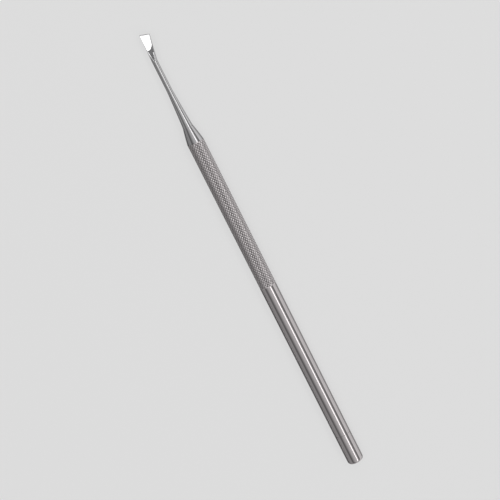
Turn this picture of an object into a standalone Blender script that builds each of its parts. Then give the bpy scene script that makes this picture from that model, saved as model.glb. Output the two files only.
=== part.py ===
"""Cuticle pusher with a hollow knurled handle.

Four pieces lie on one axis along X, with the blade at +X: a knurled handle tube, a nose cone
pressed into its front, a working end whose tang sits in the nose, and an end plug.
The origin is under the middle of the tool, on the surface that the handle lies on.
"""

import math

import bmesh
import bpy

MM = 0.001

# Handle tube. The handle's length runs from the back of the end plug to the front of the knurling.
handle_diameter = 5.0 * MM
handle_length = 107.4 * MM
handle_wall = 0.7 * MM
bore_mouth_chamfer = 0.2 * MM

# Diamond knurling, which ends at the tube's front.
knurl_length = 46.9 * MM
knurl_teeth = 17
knurl_pitch = 0.97 * MM
knurl_depth = 0.16 * MM

# Nose cone, with its spigot inside the tube.
nose_length = 4.7 * MM
nose_mouth_diameter = 3.1 * MM
nose_spigot_length = 11.0 * MM
nose_crown = 0.035 * MM

# Working end: tang, tapered neck, round shank and blade.
tang_diameter = 2.0 * MM
tang_length = 13.5 * MM
neck_length = 11.2 * MM
neck_hollow = 0.05 * MM
shank_diameter = 1.67 * MM
shank_length = 9.1 * MM
blade_length = 8.1 * MM
blade_straight_side = 0.55 * MM
blade_flared_side = 2.2 * MM
blade_slant = math.radians(18)
blade_ramp_length = 3.2 * MM
blade_face_thickness = 0.8 * MM
blade_tip_thickness = 0.46 * MM
edge_bevel_length = 0.2 * MM
edge_thickness = 0.16 * MM

# End plug, with its spigot inside the tube.
plug_head_length = 9.9 * MM
plug_spigot_length = 8.0 * MM
plug_rounding = 0.9 * MM

# Fits. The spigots are pressed and cemented, so a gap is as thick as the cement.
fit_gap = 0.02 * MM
seam_gap = 0.02 * MM
spigot_lead = 0.3 * MM
groove_depth = 0.1 * MM
groove_width = 0.5 * MM
groove_spacing = 2.4 * MM

# How finely round surfaces are faceted.
round_columns = 36
rounding_steps = 6
taper_steps = 8
blade_steps = 12
sharp_angle = math.radians(25)

# What follows from the sizes above.
handle_radius = handle_diameter / 2
bore_radius = handle_radius - handle_wall
spigot_radius = bore_radius - fit_gap
tang_radius = tang_diameter / 2
shank_radius = shank_diameter / 2
overall_length = handle_length + nose_length + neck_length + shank_length + blade_length
rear_x = -overall_length / 2
tube_rear_x = rear_x + plug_head_length + seam_gap
tube_front_x = rear_x + handle_length
nose_mouth_x = tube_front_x + nose_length
shank_rear_x = nose_mouth_x + neck_length
blade_root_x = shank_rear_x + shank_length


def clear_scene():
    for obj in list(bpy.data.objects):
        bpy.data.objects.remove(obj)


def steel(name, tone, roughness):
    """A bare stainless steel, more or less polished."""
    material = bpy.data.materials.new(name)
    material.use_nodes = True
    shader = material.node_tree.nodes["Principled BSDF"]
    shader.inputs["Base Color"].default_value = (tone, tone, tone * 0.985, 1)
    shader.inputs["Metallic"].default_value = 1
    shader.inputs["Roughness"].default_value = roughness
    return material


def finished(bm, name, material):
    """Turns a bmesh made around the tool's axis into an object that lies on the surface below."""
    bmesh.ops.recalc_face_normals(bm, faces=bm.faces)
    mesh = bpy.data.meshes.new(name)
    bm.to_mesh(mesh)
    bm.free()
    mesh.shade_smooth()
    mesh.set_sharp_from_angle(angle=sharp_angle)
    mesh.materials.append(material)
    obj = bpy.data.objects.new(name, mesh)
    obj.location.z = handle_radius
    bpy.context.scene.collection.objects.link(obj)
    return obj


def round_ring(bm, x, radii):
    """A ring of vertices around the axis, one for each radius in the list."""
    made = []
    for column, radius in enumerate(radii):
        angle = math.tau * column / len(radii)
        made.append(bm.verts.new((x, radius * math.cos(angle), radius * math.sin(angle))))
    return made


def band(bm, first, second):
    """Quads between two rings."""
    for column in range(len(first)):
        after = (column + 1) % len(first)
        bm.faces.new((first[column], first[after], second[after], second[column]))


def turned(bm, profile, columns=round_columns):
    """A surface of revolution from (x, radius) points. A radius of 0 closes that end."""
    rings = []
    for x, radius in profile:
        rings.append(round_ring(bm, x, [radius] * (columns if radius else 1)))
    for first, second in zip(rings, rings[1:]):
        if len(first) == len(second):
            band(bm, first, second)
        else:
            centre, rim = sorted((first, second), key=len)
            for column in range(columns):
                bm.faces.new((rim[column], rim[(column + 1) % columns], centre[0]))
    return rings


def cemented(free_x, seat_x, radius):
    """Profile of a spigot with a lead-in at its free end and cement grooves up to its seat."""
    way = math.copysign(1, seat_x - free_x)
    points = [(free_x, radius - spigot_lead / 2), (free_x + way * spigot_lead, radius)]
    room = abs(seat_x - free_x) - 2 * spigot_lead
    for number in range(int(room / groove_spacing)):
        near = free_x + way * (spigot_lead + groove_spacing * (number + 0.5))
        far = near + way * groove_width
        floor = radius - groove_depth
        points += [(near, radius), (near + way * groove_depth, floor)]
        points += [(far - way * groove_depth, floor), (far, radius)]
    return points + [(seat_x, radius)]


def taper(start, end, swell):
    """Points inside a taper from start to end, which bulges or, with a negative swell, is hollow."""
    points = []
    for step in range(1, taper_steps):
        share = step / taper_steps
        radius = start[1] + (end[1] - start[1]) * share + swell * math.sin(math.pi * share)
        points.append((start[0] + (end[0] - start[0]) * share, radius))
    return points


def knurl_rings(bm, start_x, rows):
    """Rings whose vertices are by turns a crest and a crossing of two grooves."""
    crest, crossing = handle_radius, handle_radius - knurl_depth
    rings = []
    for row in range(rows):
        pair = [crest, crossing] if row % 2 == 0 else [crossing, crest]
        rings.append(round_ring(bm, start_x + row * knurl_pitch / 2, pair * knurl_teeth))
    return rings


def knurl_band(bm, first, second, row):
    """Triangles between two knurl rings, folded along the grooves, so that a crest is a pyramid."""
    for column in range(len(first)):
        after = (column + 1) % len(first)
        a, b, c, d = first[column], first[after], second[after], second[column]
        if (column + row) % 2:
            bm.faces.new((a, b, c))
            bm.faces.new((a, c, d))
        else:
            bm.faces.new((a, b, d))
            bm.faces.new((b, c, d))


def handle_tube(material):
    bm = bmesh.new()
    columns = 2 * knurl_teeth
    rows = 2 * int(knurl_length / knurl_pitch)
    first_row_x = tube_front_x - rows * knurl_pitch / 2
    knurl = knurl_rings(bm, first_row_x, rows)
    mouth_radius = bore_radius + bore_mouth_chamfer
    rest = turned(
        bm,
        [
            (tube_front_x, handle_radius - knurl_depth),
            (tube_front_x, mouth_radius),
            (tube_front_x - bore_mouth_chamfer, bore_radius),
            (tube_rear_x + bore_mouth_chamfer, bore_radius),
            (tube_rear_x, mouth_radius),
            (tube_rear_x, handle_radius),
            (first_row_x - knurl_pitch / 2, handle_radius),
        ],
        columns,
    )
    knurl_band(bm, rest[-1], knurl[0], 1)
    for row in range(rows - 1):
        knurl_band(bm, knurl[row], knurl[row + 1], row)
    knurl_band(bm, knurl[-1], rest[0], rows - 1)
    return finished(bm, "handle_tube", material)


def nose_cone(material):
    bm = bmesh.new()
    spigot_rear_x = tube_front_x - nose_spigot_length
    shoulder_x = tube_front_x + seam_gap
    bore = tang_radius + fit_gap
    shoulder = (shoulder_x, handle_radius)
    mouth = (nose_mouth_x, nose_mouth_diameter / 2)
    profile = cemented(spigot_rear_x, shoulder_x, spigot_radius)
    profile += [shoulder] + taper(shoulder, mouth, nose_crown) + [mouth]
    profile += [
        (nose_mouth_x, bore + bore_mouth_chamfer),
        (nose_mouth_x - bore_mouth_chamfer, bore),
        (spigot_rear_x, bore),
    ]
    rings = turned(bm, profile)
    band(bm, rings[-1], rings[0])
    return finished(bm, "nose_cone", material)


def end_plug(material):
    bm = bmesh.new()
    spigot_front_x = tube_rear_x + plug_spigot_length
    head_front_x = rear_x + plug_head_length
    profile = [(spigot_front_x, 0)] + cemented(spigot_front_x, head_front_x, spigot_radius)
    profile.append((head_front_x, handle_radius))
    for step in range(rounding_steps + 1):
        angle = math.pi / 2 * step / rounding_steps
        x = rear_x + plug_rounding * (1 - math.sin(angle))
        profile.append((x, handle_radius - plug_rounding * (1 - math.cos(angle))))
    profile.append((rear_x, 0))
    turned(bm, profile)
    return finished(bm, "end_plug", material)


def blade_sides(share):
    """Where the blade's flared and straight sides are at a share of its length, as -Y and +Y."""
    flared = shank_radius + (blade_flared_side - shank_radius) * share
    straight = shank_radius + (blade_straight_side - shank_radius) * share
    return -flared, straight


def blade_x(share, y):
    """X of a section across the blade, which turns from square at the root to the edge's slant."""
    ramp_share = blade_ramp_length / blade_length
    turn = max(0, share - ramp_share) / (1 - ramp_share)
    set_back = math.tan(blade_slant) * turn * (blade_straight_side - y)
    return blade_root_x + blade_length * share - set_back


def blade_half_thickness(share):
    """Half the distance between the ground faces: a hollow ramp, a wedge, then the edge's bevel."""
    u = share * blade_length
    if u < blade_ramp_length:
        rise = (1 - u / blade_ramp_length) ** 2
        return (blade_face_thickness + (shank_diameter - blade_face_thickness) * rise) / 2
    bevel_u = blade_length - edge_bevel_length
    if u < bevel_u:
        down = (u - blade_ramp_length) / (bevel_u - blade_ramp_length)
        return (blade_face_thickness + (blade_tip_thickness - blade_face_thickness) * down) / 2
    down = (u - bevel_u) / edge_bevel_length
    return (blade_tip_thickness + (edge_thickness - blade_tip_thickness) * down) / 2


def working_end(material):
    bm = bmesh.new()
    tang_rear_x = nose_mouth_x - tang_length
    collar_x = nose_mouth_x + seam_gap
    profile = [(tang_rear_x, 0)] + cemented(tang_rear_x, collar_x, tang_radius)
    collar = (collar_x, nose_mouth_diameter / 2)
    shank_rear = (shank_rear_x, shank_radius)
    profile += [collar] + taper(collar, shank_rear, -neck_hollow) + [shank_rear]
    profile.append((blade_root_x, shank_radius))
    last = turned(bm, profile)[-1]
    for step in range(1, blade_steps + 1):
        share = step / blade_steps
        low, high = blade_sides(share)
        section = []
        for column in range(round_columns):
            angle = math.tau * column / round_columns
            y = (low + high) / 2 + (high - low) / 2 * math.cos(angle)
            section.append(bm.verts.new((blade_x(share, y), y, shank_radius * math.sin(angle))))
        band(bm, last, section)
        last = section
    bm.faces.new(last)
    return finished(bm, "working_end", material)


def grind(blade, side, material):
    """Grinds one broad face of the blade: side is 1 for the top and -1 for the underside."""
    bm = bmesh.new()
    reach = 2 * blade_flared_side
    ramp_steps = 10
    ramp_share = blade_ramp_length / blade_length
    shares = [ramp_share * step / ramp_steps for step in range(ramp_steps + 1)]
    shares += [1 - edge_bevel_length / blade_length, 1, 1 + edge_bevel_length / blade_length]
    low, high = [], []
    for y, row in ((-reach, low), (reach, high)):
        for share in shares:
            row.append(bm.verts.new((blade_x(share, y), y, side * blade_half_thickness(share))))
        for share in (shares[-1], shares[0]):
            row.append(bm.verts.new((blade_x(share, y), y, side * shank_diameter)))
    bm.faces.new(low)
    bm.faces.new(high)
    band(bm, low, high)
    cutter = finished(bm, "grind_top" if side > 0 else "grind_under", material)
    cutter.hide_render = True
    cutter.display_type = "WIRE"
    cut = blade.modifiers.new(cutter.name, "BOOLEAN")
    cut.operation = "DIFFERENCE"
    cut.solver = "EXACT"
    cut.object = cutter


def main():
    clear_scene()
    polished = steel("polished_steel", 0.62, 0.14)
    knurled = steel("knurled_steel", 0.55, 0.3)
    handle_tube(knurled)
    nose_cone(polished)
    end_plug(polished)
    blade = working_end(polished)
    grind(blade, 1, polished)
    grind(blade, -1, polished)


main()
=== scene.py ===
import math

import bmesh
import bpy
from mathutils import Matrix, Vector


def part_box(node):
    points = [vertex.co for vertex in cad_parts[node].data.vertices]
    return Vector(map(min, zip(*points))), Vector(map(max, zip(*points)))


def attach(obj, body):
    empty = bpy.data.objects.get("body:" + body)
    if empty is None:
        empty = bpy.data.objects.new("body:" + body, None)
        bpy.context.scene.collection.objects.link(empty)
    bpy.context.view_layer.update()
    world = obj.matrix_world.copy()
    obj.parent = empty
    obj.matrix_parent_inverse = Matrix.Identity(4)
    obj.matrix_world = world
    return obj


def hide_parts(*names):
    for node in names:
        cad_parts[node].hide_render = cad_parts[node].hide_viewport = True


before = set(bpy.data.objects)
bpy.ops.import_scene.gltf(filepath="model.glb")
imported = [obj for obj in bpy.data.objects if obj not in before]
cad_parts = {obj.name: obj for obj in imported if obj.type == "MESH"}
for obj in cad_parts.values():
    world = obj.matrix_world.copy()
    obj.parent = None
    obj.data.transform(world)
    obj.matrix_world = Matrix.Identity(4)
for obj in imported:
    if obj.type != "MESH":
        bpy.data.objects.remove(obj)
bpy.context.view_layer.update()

mm = 0.001
axisHeight = (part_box("end_plug")[0].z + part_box("end_plug")[1].z) / 2
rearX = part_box("end_plug")[0].x
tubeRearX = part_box("handle_tube")[0].x
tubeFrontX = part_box("handle_tube")[1].x
noseRearX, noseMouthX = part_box("nose_cone")[0].x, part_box("nose_cone")[1].x
tangRearX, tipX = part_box("working_end")[0].x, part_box("working_end")[1].x
handleRadius = (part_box("end_plug")[1].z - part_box("end_plug")[0].z) / 2
print("frame loaded, pusher", round((tipX - rearX) / mm, 1), "mm long")


# nodes, for shaders and geometry alike

class Wire:  # a socket's output, whose arithmetic adds Math nodes
    def __init__(self, maker, socket):
        self.maker = maker
        self.socket = socket

    def __add__(self, other):
        return self.maker.math("ADD", self, other)

    def __radd__(self, other):
        return self.maker.math("ADD", other, self)

    def __sub__(self, other):
        return self.maker.math("SUBTRACT", self, other)

    def __rsub__(self, other):
        return self.maker.math("SUBTRACT", other, self)

    def __mul__(self, other):
        return self.maker.math("MULTIPLY", self, other)

    def __rmul__(self, other):
        return self.maker.math("MULTIPLY", other, self)

    def __truediv__(self, other):
        return self.maker.math("DIVIDE", self, other)

    def __rtruediv__(self, other):
        return self.maker.math("DIVIDE", other, self)

    def __pow__(self, other):
        return self.maker.math("POWER", self, other)

    def __rpow__(self, other):
        return self.maker.math("POWER", other, self)


class NodeMaker:
    def __init__(self, tree):
        self.tree = tree

    def add(self, kind, settings=None, sockets=None, output=0):
        node = self.tree.nodes.new(kind)
        for key, value in (settings or {}).items():
            if key == "stops":
                self.setStops(node.color_ramp, value)
            else:
                setattr(node, key, value)
        for key, value in (sockets or {}).items():
            self.feed(node.inputs[key], value)
        return Wire(self, node.outputs[output]) if len(node.outputs) else node

    def feed(self, socket, value):
        if isinstance(value, Wire):
            self.tree.links.new(value.socket, socket)
        else:
            socket.default_value = value

    def setStops(self, ramp, stops):
        ramp.elements[0].position = stops[0][0]
        ramp.elements[1].position = stops[-1][0]
        for place, level in stops[1:-1]:
            ramp.elements.new(place)
        for element, (place, level) in zip(ramp.elements, stops):
            element.color = (level, level, level, 1)

    def math(self, operation, first, second=0.0):
        return self.add("ShaderNodeMath", {"operation": operation}, {0: first, 1: second})

    def smoothStep(self, value, low, high):  # 0 below low, 1 above high
        return self.add(
            "ShaderNodeMapRange",
            {"interpolation_type": "SMOOTHSTEP"},
            {"Value": value, "From Min": low, "From Max": high},
        )

    def noise(self, place, scale, detail, roughness):
        return self.add(
            "ShaderNodeTexNoise",
            {},
            {"Vector": place, "Scale": scale, "Detail": detail, "Roughness": roughness},
        )

    def axes(self, vector):
        parts = self.add("ShaderNodeSeparateXYZ", {}, {"Vector": vector}).socket.node
        return [Wire(self, parts.outputs[axis]) for axis in "XYZ"]


# steel: a scale counts a pattern's cells in a metre

tubeLook = {
    "tone": (0.63, 0.595, 0.60),
    "roughness": 0.12,
    "lineRoughness": 0.10,
    "lineScale": (26, 2600, 2600),
    "lineDepth": 0.5,
    "bumpHeight": 0.002 * mm,
    "smudgeScale": 260,
    "smudgeRoughness": 0.07,
    "smudgeTone": 0.06,
}
knurlLook = {
    # the crest tone is a painted highlight and the groove tone is painted shade
    "crestPaintedHighlight": 1.34,
    "groovePaintedShade": 0.60,
    "crestRoughness": 0.16,
    "grooveRoughness": 0.42,
    "grooveFrom": 0.15,  # shares of the knurling's depth at which the groove's rougher look and painted shade begin and are full
    "grooveFull": 0.9,
    "cutFrom": -0.05 * mm,  # where the cut look begins and is full, from the knurling's rear end
    "cutFull": 0.1 * mm,
    "grainScale": 5200,
    "grainRoughness": 0.16,
    "grainDepth": 3,
}
noseLook = dict(
    tubeLook,
    tone=(0.62, 0.61, 0.62),
    roughness=0.13,
    lineScale=(2600, 60, 60),
    lineDepth=0.3,
)
bladeLook = dict(
    tubeLook,
    tone=(0.66, 0.655, 0.66),
    roughness=0.15,
    lineScale=(120, 3600, 3600),
    lineDepth=0.35,
)
# the scooped hollow's finish: real grinding lines and roughness, with its dark tone painted shade
grindPaintedShadeLook = dict(
    tubeLook,
    tone=(0.25, 0.25, 0.255),
    roughness=0.38,
    lineScale=(3200, 160, 160),
    lineDepth=0.8,
)


def startMaterial(name):
    material = bpy.data.materials.new(name)
    material.use_nodes = True
    maker = NodeMaker(material.node_tree)
    place = maker.add("ShaderNodeTexCoord", output="Object")
    shader = material.node_tree.nodes["Principled BSDF"]
    shader.inputs["Metallic"].default_value = 1
    return material, maker, place, shader


def polishedFinish(maker, place, look):  # fine polishing lines and faint smudges
    along = maker.add("ShaderNodeMapping", {}, {"Vector": place, "Scale": look["lineScale"]})
    lines = maker.noise(along, 1.0, 3.0, 0.6)
    smudges = maker.noise(place, look["smudgeScale"], 2.0, 0.5)
    roughness = look["roughness"] + look["lineRoughness"] * (lines - 0.5)
    roughness = roughness + look["smudgeRoughness"] * (smudges - 0.5)
    level = 1 - look["smudgeTone"] / 2 + look["smudgeTone"] * smudges
    return lines, roughness, level


def fineBump(maker, look, height):
    return maker.add(
        "ShaderNodeBump",
        {},
        {"Strength": look["lineDepth"], "Distance": look["bumpHeight"], "Height": height},
    )


def toned(maker, tone, level):  # a metal's tone made lighter or darker by a level around 1
    grey = maker.add("ShaderNodeCombineColor", {}, {"Red": level, "Green": level, "Blue": level})
    return maker.add(
        "ShaderNodeMix",
        {"data_type": "RGBA", "blend_type": "MULTIPLY"},
        {"Factor": 1.0, 6: (*tone, 1), 7: grey},
        output=2,
    )


def polishedSteel(name, look):
    material, maker, place, shader = startMaterial(name)
    lines, roughness, level = polishedFinish(maker, place, look)
    maker.feed(shader.inputs["Base Color"], toned(maker, look["tone"], level))
    maker.feed(shader.inputs["Roughness"], roughness)
    maker.feed(shader.inputs["Normal"], fineBump(maker, look, lines))
    return material


def knurledSteel(name, look, knurl):  # crests painted brighter as a highlight and grooves painted darker as shade, also rougher and grainy, before a smooth part
    material, maker, place, shader = startMaterial(name)
    lines, roughness, level = polishedFinish(maker, place, look)
    x, y, z = maker.axes(place)
    outward = (y * y + (z - axisHeight) * (z - axisHeight)) ** 0.5
    down = (handleRadius - outward) / knurlSize["depth"]
    groove = maker.smoothStep(down, knurl["grooveFrom"], knurl["grooveFull"])
    cut = maker.smoothStep(x, knurlRearX + knurl["cutFrom"], knurlRearX + knurl["cutFull"])
    grain = maker.noise(place, knurl["grainScale"], 2.0, 0.6)
    crestRoughness, crestPaintedHighlight = knurl["crestRoughness"], knurl["crestPaintedHighlight"]
    cutRoughness = crestRoughness + (knurl["grooveRoughness"] - crestRoughness) * groove
    cutRoughness = cutRoughness + knurl["grainRoughness"] * (grain - 0.5)
    # painted light: crests lightened as a highlight, grooves darkened by depth as shade
    cutPaintedHighlightAndShade = crestPaintedHighlight + groove * (knurl["groovePaintedShade"] - crestPaintedHighlight)
    bump = fineBump(maker, look, lines + cut * knurl["grainDepth"] * grain)
    level = level * (1 + cut * (cutPaintedHighlightAndShade - 1))
    maker.feed(shader.inputs["Base Color"], toned(maker, look["tone"], level))
    maker.feed(shader.inputs["Roughness"], roughness + cut * (cutRoughness - roughness))
    maker.feed(shader.inputs["Normal"], bump)
    return material


# shapes turned around the pusher's axis, from profiles of x and radius

def roundRing(bm, x, radius, columns):
    made = []
    for column in range(columns if radius else 1):
        angle = math.tau * column / columns
        made.append(bm.verts.new((x, radius * math.cos(angle), axisHeight + radius * math.sin(angle))))
    return made


def bridge(bm, first, second):
    if len(first) < len(second):
        first, second = second, first
    for column in range(len(first)):
        after = (column + 1) % len(first)
        if len(second) == 1:
            bm.faces.new((first[column], first[after], second[0]))
        else:
            bm.faces.new((first[column], first[after], second[after], second[column]))


# a ring close to each end of a long run keeps its shading straight
def held(profile, gap=0.06 * mm, largestShare=0.2):
    points = [profile[0]]
    for (ax, ar), (bx, br) in zip(profile, profile[1:]):
        share = gap / max(math.dist((ax, ar), (bx, br)), gap)
        if share < largestShare:
            points.append((ax + (bx - ax) * share, ar + (br - ar) * share))
            points.append((bx - (bx - ax) * share, br - (br - ar) * share))
        points.append((bx, br))
    return points


def turn(bm, profile, columns):
    rings = [roundRing(bm, x, radius, columns) for x, radius in held(profile)]
    for first, second in zip(rings, rings[1:]):
        bridge(bm, first, second)
    return rings


def arc(fromPoint, toPoint, corner, steps=3):  # a quarter ellipse that bulges towards the corner
    (ax, ar), (bx, br), (cx, cr) = fromPoint, toPoint, corner
    points = []
    for step in range(steps + 1):
        angle = math.pi / 2 * step / steps
        x = ax + (cx - ax) * math.sin(angle) + (bx - cx) * (1 - math.cos(angle))
        r = ar + (cr - ar) * math.sin(angle) + (br - cr) * (1 - math.cos(angle))
        points.append((x, r))
    return points


def finishPiece(bm, name, *materials, sharpDegrees=28, weld=0.0005 * mm):
    bmesh.ops.remove_doubles(bm, verts=bm.verts, dist=weld)
    bmesh.ops.recalc_face_normals(bm, faces=bm.faces)
    mesh = bpy.data.meshes.new(name)
    bm.to_mesh(mesh)
    bm.free()
    mesh.shade_smooth()
    mesh.set_sharp_from_angle(angle=math.radians(sharpDegrees))
    for material in materials:
        mesh.materials.append(material)
    piece = bpy.data.objects.new(name, mesh)
    bpy.context.scene.collection.objects.link(piece)
    print(name, len(mesh.polygons), "faces")
    return piece


# knurling: one cell of diamonds, repeated flat and then wrapped around the tube

knurlSize = {
    "teeth": 17,
    "pitch": 0.97 * mm,
    "rows": 48,
    "depth": 0.16 * mm,
    "fade": 0.3 * mm,
    "stepsPerTooth": 6,
    "heights": (0, 0.46, 0.84, 1),
    "weld": 0.002 * mm,
}
knurlRearX = tubeFrontX - knurlSize["rows"] * knurlSize["pitch"]


def diamondHeight(i, j):  # i and j count steps along the two ways that the grooves run
    half = knurlSize["stepsPerTooth"] // 2
    across = [abs((way % (2 * half)) - half) for way in (i, j)]
    return knurlSize["heights"][min(across)]


def diamondCell():  # 1 by 1, with a whole diamond in the middle and a quarter in each corner
    reach = knurlSize["stepsPerTooth"]
    spots = {}
    bm = bmesh.new()

    def spot(i, j):
        if (i, j) not in spots:
            along, across = (i + j) / 2 / reach, (i - j) / 2 / reach
            spots[i, j] = bm.verts.new((along, across, diamondHeight(i, j) - 1))
        return spots[i, j]

    for i in range(-reach, reach):
        for j in range(-reach, reach):
            square = [(i, j), (i + 1, j), (i + 1, j + 1), (i, j + 1)]
            inside = [c for c in square if abs(c[0] + c[1]) <= reach and abs(c[0] - c[1]) <= reach]
            if len(inside) < 3:
                continue
            corners = [spot(*c) for c in inside]
            levels = [diamondHeight(*c) for c in inside]
            if len(inside) == 4 and levels[1] == levels[3] and levels[0] != levels[2]:
                bm.faces.new((corners[0], corners[1], corners[2]))
                bm.faces.new((corners[0], corners[2], corners[3]))
            elif len(inside) == 4 and levels[0] == levels[2] and levels[1] != levels[3]:
                bm.faces.new((corners[0], corners[1], corners[3]))
                bm.faces.new((corners[1], corners[2], corners[3]))
            else:
                bm.faces.new(corners)
    mesh = bpy.data.meshes.new("diamondCell")
    bm.to_mesh(mesh)
    bm.free()
    return bpy.data.objects.new("diamondCell", mesh)


def knurlTree():
    tree = bpy.data.node_groups.new("wrappedKnurl", "GeometryNodeTree")
    interface = tree.interface
    interface.new_socket(name="Geometry", in_out="INPUT", socket_type="NodeSocketGeometry")
    for name in ("Teeth Around", "Rows Along"):
        interface.new_socket(name=name, in_out="INPUT", socket_type="NodeSocketInt")
    for name in ("Pitch", "Depth", "Fade", "Radius", "Middle X", "Axis Height"):
        interface.new_socket(name=name, in_out="INPUT", socket_type="NodeSocketFloat")
    interface.new_socket(name="Steel", in_out="INPUT", socket_type="NodeSocketMaterial")
    interface.new_socket(name="Geometry", in_out="OUTPUT", socket_type="NodeSocketGeometry")

    maker = NodeMaker(tree)
    given = maker.add("NodeGroupInput").socket.node
    size = {socket.name: Wire(maker, socket) for socket in given.outputs if socket.name}
    pitchAround = size["Radius"] * math.tau / size["Teeth Around"]
    lattice = maker.add(
        "GeometryNodeMeshGrid",
        {},
        {
            "Size X": size["Pitch"] * (size["Rows Along"] - 1),
            "Size Y": pitchAround * (size["Teeth Around"] - 1),
            "Vertices X": size["Rows Along"],
            "Vertices Y": size["Teeth Around"],
        },
    )
    scale = maker.add(
        "ShaderNodeCombineXYZ",
        {},
        {"X": size["Pitch"], "Y": pitchAround, "Z": size["Depth"]},
    )
    cells = maker.add(
        "GeometryNodeInstanceOnPoints",
        {},
        {"Points": lattice, "Instance": size["Geometry"], "Scale": scale},
    )
    weld = knurlSize["weld"]
    flat = maker.add("GeometryNodeRealizeInstances", {}, {"Geometry": cells})
    flat = maker.add("GeometryNodeMergeByDistance", {}, {"Geometry": flat, "Distance": weld})

    along, around, height = maker.axes(maker.add("GeometryNodeInputPosition"))
    fromEnd = size["Pitch"] * size["Rows Along"] / 2 - maker.math("ABSOLUTE", along)
    faded = height * maker.math("MINIMUM", fromEnd / size["Fade"], 1.0)
    angle = around / size["Radius"]
    radius = size["Radius"] + faded
    wrapped = maker.add(
        "ShaderNodeCombineXYZ",
        {},
        {
            "X": along + size["Middle X"],
            "Y": radius * maker.math("COSINE", angle),
            "Z": radius * maker.math("SINE", angle) + size["Axis Height"],
        },
    )
    sleeve = maker.add("GeometryNodeSetPosition", {}, {"Geometry": flat, "Position": wrapped})
    closed = maker.add("GeometryNodeMergeByDistance", {}, {"Geometry": sleeve, "Distance": weld})
    whole = maker.add("GeometryNodeRealizeInstances", {}, {"Geometry": closed})
    clad = maker.add("GeometryNodeSetMaterial", {}, {"Geometry": whole, "Material": size["Steel"]})
    maker.add("NodeGroupOutput", {}, {"Geometry": clad})
    return tree


def knurledMesh(steel):
    cell = diamondCell()
    bpy.context.scene.collection.objects.link(cell)
    modifier = cell.modifiers.new("knurl", "NODES")
    modifier.node_group = knurlTree()
    length = knurlSize["rows"] * knurlSize["pitch"]
    values = {
        "Teeth Around": knurlSize["teeth"],
        "Rows Along": knurlSize["rows"],
        "Pitch": knurlSize["pitch"],
        "Depth": knurlSize["depth"],
        "Fade": knurlSize["fade"],
        "Radius": handleRadius,
        "Middle X": knurlRearX + length / 2,
        "Axis Height": axisHeight,
        "Steel": steel,
    }
    for socket in modifier.node_group.interface.items_tree:
        if socket.in_out == "INPUT" and socket.name in values:
            modifier[socket.identifier] = values[socket.name]
    shown = cell.evaluated_get(bpy.context.evaluated_depsgraph_get())
    mesh = bpy.data.meshes.new_from_object(shown)
    bpy.data.objects.remove(cell)
    return mesh


# handle tube: the wrapped knurling, joined to a turned bore and a smooth rear part

tubeSize = {
    "wall": 0.7 * mm,
    "rimRound": 0.05 * mm,
    "boreChamfer": 0.2 * mm,
}


def makeHandleTube(steel):
    bm = bmesh.new()
    bm.from_mesh(knurledMesh(steel))
    columns = knurlSize["teeth"] * knurlSize["stepsPerTooth"]
    bore = handleRadius - tubeSize["wall"]
    rim, mouth = tubeSize["rimRound"], tubeSize["boreChamfer"]
    corner = (tubeRearX, handleRadius)
    profile = [
        (tubeFrontX, handleRadius),
        (tubeFrontX, bore + mouth),
        (tubeFrontX - mouth, bore),
        (tubeRearX + mouth, bore),
        (tubeRearX, bore + mouth),
        *arc((tubeRearX, handleRadius - rim), (tubeRearX + rim, handleRadius), corner),
        (knurlRearX, handleRadius),
    ]
    turn(bm, profile, columns)
    return finishPiece(bm, "handleTube", steel)


# end plug: a spigot inside the tube and a rounded head

plugSize = {
    "rounding": 0.9 * mm,
    "rimRound": 0.05 * mm,
    "spigotLength": 7.9 * mm,
    "fitGap": 0.03 * mm,
    "seam": 0.02 * mm,
    "roundingSteps": 10,
    "columns": 128,
}


def makeEndPlug(steel):
    seat = tubeRearX - plugSize["seam"]
    spigot = handleRadius - tubeSize["wall"] - plugSize["fitGap"]
    rim, rounding = plugSize["rimRound"], plugSize["rounding"]
    rimCorner, endCorner = (seat, handleRadius), (rearX, handleRadius)
    rimArc = arc((seat, handleRadius - rim), (seat - rim, handleRadius), rimCorner)
    endFrom, endTo = (rearX + rounding, handleRadius), (rearX, handleRadius - rounding)
    profile = [
        (seat + plugSize["spigotLength"], 0),
        (seat + plugSize["spigotLength"], spigot),
        (seat, spigot),
        *rimArc,
        *arc(endFrom, endTo, endCorner, plugSize["roundingSteps"]),
        (rearX, 0),
    ]
    bm = bmesh.new()
    turn(bm, profile, plugSize["columns"])
    return finishPiece(bm, "endPlug", steel)


# nose cone: a spigot inside the tube, a slightly crowned cone and a bore for the tang

noseSize = {
    "mouthRadius": 1.55 * mm,
    "boreRadius": 1.06 * mm,
    "crown": 0.035 * mm,
    "rimRound": 0.06 * mm,
    "mouthRise": 0.2,  # shares of the rim's rounding by which the mouth's edge rises and drops
    "mouthDrop": 0.5,
    "mouthChamfer": 0.2 * mm,
    "seam": 0.02 * mm,
    "fitGap": 0.03 * mm,
    "crownSteps": 10,
    "columns": 128,
}


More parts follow.
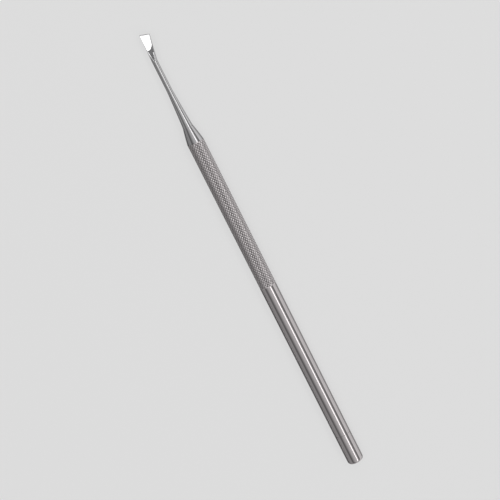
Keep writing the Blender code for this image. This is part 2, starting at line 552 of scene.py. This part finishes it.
def makeNoseCone(steel):
    shoulder = tubeFrontX + noseSize["seam"]
    spigot = handleRadius - tubeSize["wall"] - noseSize["fitGap"]
    rim, chamfer = noseSize["rimRound"], noseSize["mouthChamfer"]
    corner = (shoulder, handleRadius)
    profile = [(noseRearX, spigot), (shoulder, spigot)]
    profile += arc((shoulder, handleRadius - rim), (shoulder + rim, handleRadius), corner)
    steps = noseSize["crownSteps"]
    for step in range(1, steps):
        share = step / steps
        radius = handleRadius + (noseSize["mouthRadius"] - handleRadius) * share
        swell = noseSize["crown"] * math.sin(math.pi * share)
        profile.append((shoulder + (noseMouthX - shoulder) * share, radius + swell))
    mouth = noseSize["mouthRadius"]
    profile += [
        (noseMouthX - rim, mouth + noseSize["mouthRise"] * rim),
        (noseMouthX, mouth - noseSize["mouthDrop"] * rim),
        (noseMouthX, noseSize["boreRadius"] + chamfer),
        (noseMouthX - chamfer, noseSize["boreRadius"]),
        (noseRearX, noseSize["boreRadius"]),
        (noseRearX, spigot),
    ]
    bm = bmesh.new()
    turn(bm, profile, noseSize["columns"])
    return finishPiece(bm, "noseCone", steel)


# working end: tang, neck, shank and ground blade; u runs from the blade's root to its tip

bladeSize = {
    "shank": 9.1 * mm,
    "blade": 8.1 * mm,
    "tangRadius": 1.0 * mm,
    "collarRadius": 1.53 * mm,
    "collarChamfer": 0.03 * mm,
    "shankRadius": 0.835 * mm,
    "hollow": 0.05 * mm,
    "hollowSkew": 0.6,
    "straightSide": 0.55 * mm,
    "flaredSide": 2.2 * mm,
    "slant": math.radians(18),
    "ramp": 3.2 * mm,
    "rampSweep": 0.6,
    "faceThickness": 0.8 * mm,
    "tipThickness": 0.46 * mm,
    "bevel": 0.2 * mm,
    "edgeThickness": 0.16 * mm,
    "soften": (0.2 * mm, 0.03 * mm),
    "scoopWidth": (0.08 * mm, 0.56 * mm),
    "scoopSkew": 0.22 * mm,
    "scoopOffset": 0.12 * mm,  # its middle lies this far towards the flared side
    "scoopOpen": 0.75,  # past this share of the ramp, it is open towards that side
    "scoopStart": 0.05 * mm,
    "scoopRunOut": 0.6,  # how steeply it runs out at the ramp's end
    "scoopWall": 0.14 * mm,
    "scoopDepth": 0.05 * mm,
    "grindPaintedShadeInside": 0.02 * mm,  # grinding marks and painted shade begin this far inside the scoop
    "grindPaintedShadeLevel": 0.6,  # and only where a face's normal rises at least this much
    "columns": 224,
    "neckSteps": 16,
    "sections": 100,
    "bevelSections": (0.08, 0.5, 0.92, 1),
}


def softLimit(value, limit, blend):  # the smaller of the two, with a rounded corner between
    overlap = max(blend - abs(value - limit), 0) / blend
    return min(value, limit) - overlap * overlap * blend / 4


def rampEnd(y):  # the hollow runs further along the flared side
    return bladeSize["ramp"] + bladeSize["rampSweep"] * min(y / mm, 0) ** 2 * mm


def scoopReach(u, y):  # how far a spot lies inside the scooped middle of the hollow
    size = bladeSize
    low, high = size["scoopWidth"]
    share = min(max(u / size["ramp"], 0), 1)
    reach = low + (high - low) * share
    if y > -size["scoopOffset"]:
        side = reach - (y + size["scoopOffset"])
    elif u > size["scoopOpen"] * size["ramp"]:
        side = math.inf
    else:
        side = reach + size["scoopSkew"] * share ** 0.5 + y + size["scoopOffset"]
    return min(side, u - size["scoopStart"], (rampEnd(y) - u) * size["scoopRunOut"])


def bladeHalfThickness(u, y):
    size = bladeSize
    tip = size["tipThickness"]
    bevelStart = size["blade"] - size["bevel"]
    if u > bevelStart:
        down = (u - bevelStart) / size["bevel"]
        return (tip + (size["edgeThickness"] - tip) * down) / 2
    down = (u - size["ramp"]) / (bevelStart - size["ramp"])
    flat = size["faceThickness"] + (tip - size["faceThickness"]) * down
    rise = max(1 - u / rampEnd(y), 0) ** 2
    scoop = min(max(scoopReach(u, y) / size["scoopWall"], 0), 1)
    hollowed = size["scoopDepth"] * scoop * (2 - scoop)
    return (flat + (2 * size["shankRadius"] - flat) * rise) / 2 - hollowed


def bladeSection(u):  # round at the root, then cut to the blade's thickness and set back by its slant
    size = bladeSize
    radius = size["shankRadius"]
    share = u / size["blade"]
    flared = radius + (size["flaredSide"] - radius) * share
    straight = radius + (size["straightSide"] - radius) * share
    slantShare = max(0, u - size["ramp"]) / (size["blade"] - size["ramp"])
    soften = size["soften"][0] + (size["soften"][1] - size["soften"][0]) * share
    points = []
    for column in range(size["columns"]):
        angle = math.tau * column / size["columns"]
        y = (straight - flared) / 2 + (straight + flared) / 2 * math.cos(angle)
        z = radius * math.sin(angle)
        level = max(softLimit(abs(z), bladeHalfThickness(u, y), soften), 0)
        setBack = math.tan(size["slant"]) * slantShare * (size["straightSide"] - y)
        x = tipX - size["blade"] + u - setBack
        points.append((x, y, axisHeight + math.copysign(level, z)))
    return points


def makeWorkingEnd(steel, grindPaintedShade):
    size = bladeSize
    collarX = noseMouthX + noseSize["seam"]
    rootX = tipX - size["blade"]
    neckEndX = rootX - size["shank"]
    collar, chamfer = size["collarRadius"], size["collarChamfer"]
    profile = [(tangRearX, 0), (tangRearX, size["tangRadius"]), (collarX, size["tangRadius"])]
    profile += [(collarX, collar - chamfer), (collarX + chamfer, collar)]
    for step in range(1, size["neckSteps"] + 1):
        share = step / size["neckSteps"]
        radius = collar + (size["shankRadius"] - collar) * share
        radius -= size["hollow"] * math.sin(math.pi * share ** size["hollowSkew"])
        profile.append((collarX + (neckEndX - collarX) * share, radius))
    profile.append((rootX, size["shankRadius"]))
    bm = bmesh.new()
    last = turn(bm, profile, size["columns"])[-1]
    bevelStart = size["blade"] - size["bevel"]
    places = [bevelStart * step / size["sections"] for step in range(1, size["sections"] + 1)]
    places += [bevelStart + size["bevel"] * share for share in size["bevelSections"]]
    for u in places:
        section = [bm.verts.new(point) for point in bladeSection(u)]
        bridge(bm, last, section)
        last = section
    bm.faces.new(last)
    bm.normal_update()
    for face in bm.faces:  # the hollow that leads to the flat faces keeps its grinding marks, and its tone is painted dark as shade
        middle = face.calc_center_median()
        inside = scoopReach(middle.x - rootX, middle.y) > size["grindPaintedShadeInside"]
        if inside and abs(face.normal.z) > size["grindPaintedShadeLevel"]:
            face.material_index = 1
    return finishPiece(bm, "workingEnd", steel, grindPaintedShade, sharpDegrees=40)


# pieces on the frame

knurledTubeSteel = knurledSteel("handleSteel", tubeLook, knurlLook)
plugSteel = polishedSteel("plugSteel", tubeLook)
noseSteel = polishedSteel("noseSteel", noseLook)
bladeSteel = polishedSteel("bladeSteel", bladeLook)
grindPaintedShadeSteel = polishedSteel("grindPaintedShadeSteel", grindPaintedShadeLook)

handleTube = makeHandleTube(knurledTubeSteel)
endPlug = makeEndPlug(plugSteel)
noseCone = makeNoseCone(noseSteel)
workingEnd = makeWorkingEnd(bladeSteel, grindPaintedShadeSteel)

for piece, node, slot in (
    (handleTube, "handle_tube", "handle_steel"),
    (endPlug, "end_plug", "polished_steel"),
    (noseCone, "nose_cone", "polished_steel"),
    (workingEnd, "working_end", "blade_steel"),
):
    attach(piece, "root")
    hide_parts(node)
print("pieces made")


# floor, light and camera

studio = {
    "floorGlow": (0.570, 0.570, 0.570),
    "floorTone": (0.20, 0.20, 0.20),
    "backdrop": 0.72,
    "span": 240,  # degrees that the ramp below covers, with its middle straight up
    "around": (  # degrees around the pusher from straight up, and how bright the soft light is there
        (-100, 0.20),
        (-58, 0.38),
        (-34, 0.10),
        (0, 0.55),
        (30, 0.62),
        (68, 0.13),
        (84, 0.85),
        (100, 0.90),
    ),
}


def fromTurn(degrees):  # the ramp's place for an angle around the pusher
    return 0.5 + degrees / studio["span"]


def makeWorld():
    world = bpy.data.worlds.new("studioWorld")
    world.use_nodes = True
    bpy.context.scene.world = world
    maker = NodeMaker(world.node_tree)
    background = world.node_tree.nodes["Background"]
    x, y, z = maker.axes(maker.add("ShaderNodeTexCoord", output="Generated"))
    degrees = maker.math("ARCTAN2", 0 - y, z) * math.degrees(1)
    stops = [(fromTurn(angle), level) for angle, level in studio["around"]]
    light = maker.add("ShaderNodeValToRGB", {"stops": stops}, {"Fac": fromTurn(degrees)})
    seen = maker.add("ShaderNodeLightPath", output="Is Camera Ray")
    light = light + seen * (studio["backdrop"] - light)
    grey = maker.add("ShaderNodeCombineColor", {}, {"Red": light, "Green": light, "Blue": light})
    maker.feed(background.inputs["Color"], grey)


def makeFloor():
    bpy.ops.mesh.primitive_plane_add(size=6, location=(0, 0, 0))
    floor = bpy.context.object
    floor.name = "floor"
    material = bpy.data.materials.new("floorPaper")
    material.use_nodes = True
    shader = material.node_tree.nodes["Principled BSDF"]
    shader.inputs["Base Color"].default_value = (*studio["floorTone"], 1)
    shader.inputs["Roughness"].default_value = 0.9
    shader.inputs["Specular IOR Level"].default_value = 0.0
    shader.inputs["Emission Color"].default_value = (*studio["floorGlow"], 1)
    shader.inputs["Emission Strength"].default_value = 1
    floor.data.materials.append(material)


def flatCard(x0, x1, y0, y1, height=0.05):
    return ((x0, y0, height), (x1, y0, height), (x1, y1, height), (x0, y1, height))


cards = {  # lie beside the pusher or hang over it, seen in the steel only; sizes in millimetres
    "leftFlag": {"level": 0.14, "corners": flatCard(-110, 110, 3.5, 80)},
    "rightStrip": {"level": 0.34, "corners": flatCard(-75, 110, -6.9, -2.7)},
    "tipCard": {"level": 2.6, "corners": flatCard(65.5, 74.5, 6.5, 15, 41)},
}


def makeCard(name, look):
    mesh = bpy.data.meshes.new(name)
    mesh.from_pydata([Vector(corner) * mm for corner in look["corners"]], [], [(0, 1, 2, 3)])
    material = bpy.data.materials.new(name)
    material.use_nodes = True
    shader = material.node_tree.nodes["Principled BSDF"]
    shader.inputs["Base Color"].default_value = (0, 0, 0, 1)
    shader.inputs["Specular IOR Level"].default_value = 0
    shader.inputs["Emission Color"].default_value = (1, 1, 1, 1)
    shader.inputs["Emission Strength"].default_value = look["level"]
    mesh.materials.append(material)
    card = bpy.data.objects.new(name, mesh)
    card.visible_camera = card.visible_diffuse = card.visible_shadow = False
    bpy.context.scene.collection.objects.link(card)


cameraPlace = {
    "alongFromRear": 72.7 * mm,
    "distance": 310.3 * mm,
    "tilt": math.radians(12),
    "turn": math.radians(15),
    "roll": math.radians(26.77),
    "lens": 77.7,
}


def makeCamera():
    place = cameraPlace
    tilt, turnAngle = place["tilt"], place["turn"]
    across, upward = -math.sin(turnAngle), math.cos(turnAngle)
    towards = Vector((math.sin(tilt), across * math.cos(tilt), upward * math.cos(tilt)))
    rearward = Vector((-math.cos(tilt), across * math.sin(tilt), upward * math.sin(tilt)))
    sideward = Vector((0, -upward, across))
    right = rearward * math.sin(place["roll"]) + sideward * math.cos(place["roll"])
    up = sideward * math.sin(place["roll"]) - rearward * math.cos(place["roll"])
    data = bpy.data.cameras.new("camera")
    data.lens = place["lens"]
    data.sensor_width = 36
    data.clip_start = 0.01
    data.clip_end = 20
    camera = bpy.data.objects.new("camera", data)
    aim = Vector((rearX + place["alongFromRear"], 0, axisHeight))
    turned = Matrix((right, up, towards)).transposed().to_4x4()
    camera.matrix_world = Matrix.Translation(aim + towards * place["distance"]) @ turned
    bpy.context.scene.collection.objects.link(camera)
    bpy.context.scene.camera = camera


def makeLight(name, direction, distance, size, power):
    data = bpy.data.lights.new(name, "AREA")
    data.size = size
    data.energy = power
    light = bpy.data.objects.new(name, data)
    direction = Vector(direction).normalized()
    light.location = direction * distance
    light.rotation_mode = "QUATERNION"
    light.rotation_quaternion = direction.to_track_quat("Z", "Y")
    light.visible_glossy = False
    bpy.context.scene.collection.objects.link(light)


def makeStrip(name, degrees, distance, width, length, power):  # a long soft box along the pusher
    data = bpy.data.lights.new(name, "AREA")
    data.shape = "RECTANGLE"
    data.size, data.size_y = length, width
    data.energy = power
    light = bpy.data.objects.new(name, data)
    angle = math.radians(degrees)
    light.location = (0, -math.sin(angle) * distance, math.cos(angle) * distance)
    light.rotation_euler = (angle, 0, 0)
    bpy.context.scene.collection.objects.link(light)


makeWorld()
makeFloor()
for name, look in cards.items():
    makeCard(name, look)
makeStrip("stripLight", degrees=36, distance=0.6, width=0.13, length=1.6, power=0.95)
makeLight("overheadLight", direction=(0.1, 0.1, 1), distance=1.2, size=1.4, power=5)
makeCamera()
bpy.context.scene.view_settings.view_transform = "Standard"
print("studio ready")
